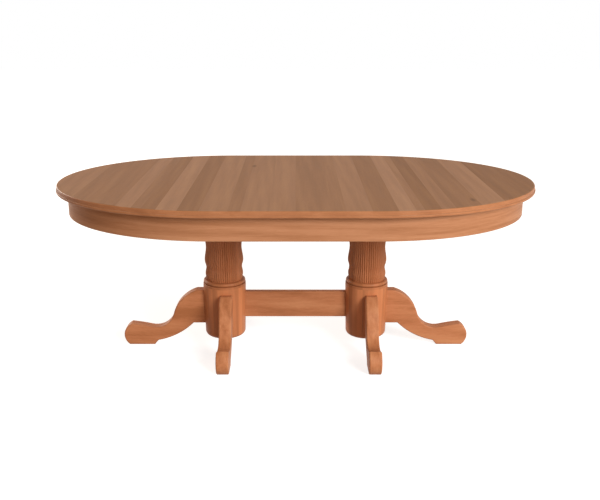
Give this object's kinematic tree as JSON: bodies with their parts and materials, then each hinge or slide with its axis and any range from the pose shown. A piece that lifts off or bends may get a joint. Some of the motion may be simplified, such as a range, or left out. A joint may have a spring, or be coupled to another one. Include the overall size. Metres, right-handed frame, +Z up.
{
  "type": "double pedestal dining table",
  "caption": "Oval wooden dining table on turned, reeded pedestals with S-curved legs, opening on geared slides for lift-out leaves.",
  "frame": {"origin": "on the floor, under the middle of the top", "axes": "+X along the table, from pedestal to pedestal; +Y across it, away from the pictured side; +Z up"},
  "size_m": [2.032, 1.22, 0.762],
  "materials": {
    "top_wood": "satin",
    "apron_wood": "satin",
    "turned_wood": "satin",
    "leg_wood": "satin",
    "slide_wood": "matte",
    "steel": "satin",
    "nylon": "matte"
  },
  "bodies": {
    "base": {"stretcher": "leg_wood", "front_centre_rail": "slide_wood", "back_centre_rail": "slide_wood", "gear_board": "slide_wood", "pivot": "steel", "left_drum": "turned_wood", "left_shaft": "turned_wood", "left_top_plate": "slide_wood", "left_outer_leg": "leg_wood", "left_front_leg": "leg_wood", "left_back_leg": "leg_wood", "right_drum": "turned_wood", "right_shaft": "turned_wood", "right_top_plate": "slide_wood", "right_outer_leg": "leg_wood", "right_front_leg": "leg_wood", "right_back_leg": "leg_wood"},
    "left_top": {"left_end_panel": "top_wood", "left_end_tongues": "slide_wood", "left_end_apron": "apron_wood", "left_end_blocks": "slide_wood", "left_rack": "nylon", "left_rack_rail": "slide_wood", "left_front_rail": "slide_wood", "left_back_rail": "slide_wood"},
    "right_top": {"right_end_panel": "top_wood", "right_end_tongues": "slide_wood", "right_end_apron": "apron_wood", "right_end_blocks": "slide_wood", "right_rack": "nylon", "right_rack_rail": "slide_wood", "right_front_rail": "slide_wood", "right_back_rail": "slide_wood"},
    "left_leaf": {"left_leaf_panel": "top_wood", "left_leaf_front_apron": "apron_wood", "left_leaf_back_apron": "apron_wood", "left_leaf_battens": "slide_wood", "left_leaf_blocks": "slide_wood"},
    "right_leaf": {"right_leaf_panel": "top_wood", "right_leaf_front_apron": "apron_wood", "right_leaf_back_apron": "apron_wood", "right_leaf_battens": "slide_wood", "right_leaf_blocks": "slide_wood"},
    "pinion": {"pinion": "nylon"}
  },
  "joints": [
    {"name": "right_end_slide", "type": "slide", "parent": "base", "child": "right_top", "axis": [1, 0, 0], "range_m": [0, 0.152]},
    {"name": "left_end_slide", "type": "slide", "parent": "base", "child": "left_top", "axis": [-1, 0, 0], "range_m": [0, 0.152]},
    {"name": "pinion_turn", "type": "hinge", "parent": "base", "child": "pinion", "pos_m": [0, 0, 0.7034], "axis": [0, 0, 1], "range_deg": [-312, 0]},
    {"name": "right_leaf_lift", "type": "slide", "parent": "base", "child": "right_leaf", "axis": [0, 0, 1], "range_m": [0, 0.3]},
    {"name": "left_leaf_lift", "type": "slide", "parent": "base", "child": "left_leaf", "axis": [0, 0, 1], "range_m": [0, 0.3]}
  ],
  "couplings": [
    {"joint": "left_end_slide", "follows": "right_end_slide", "ratio": 1},
    {"joint": "pinion_turn", "follows": "right_end_slide", "rad_per_m": -35.714}
  ]
}
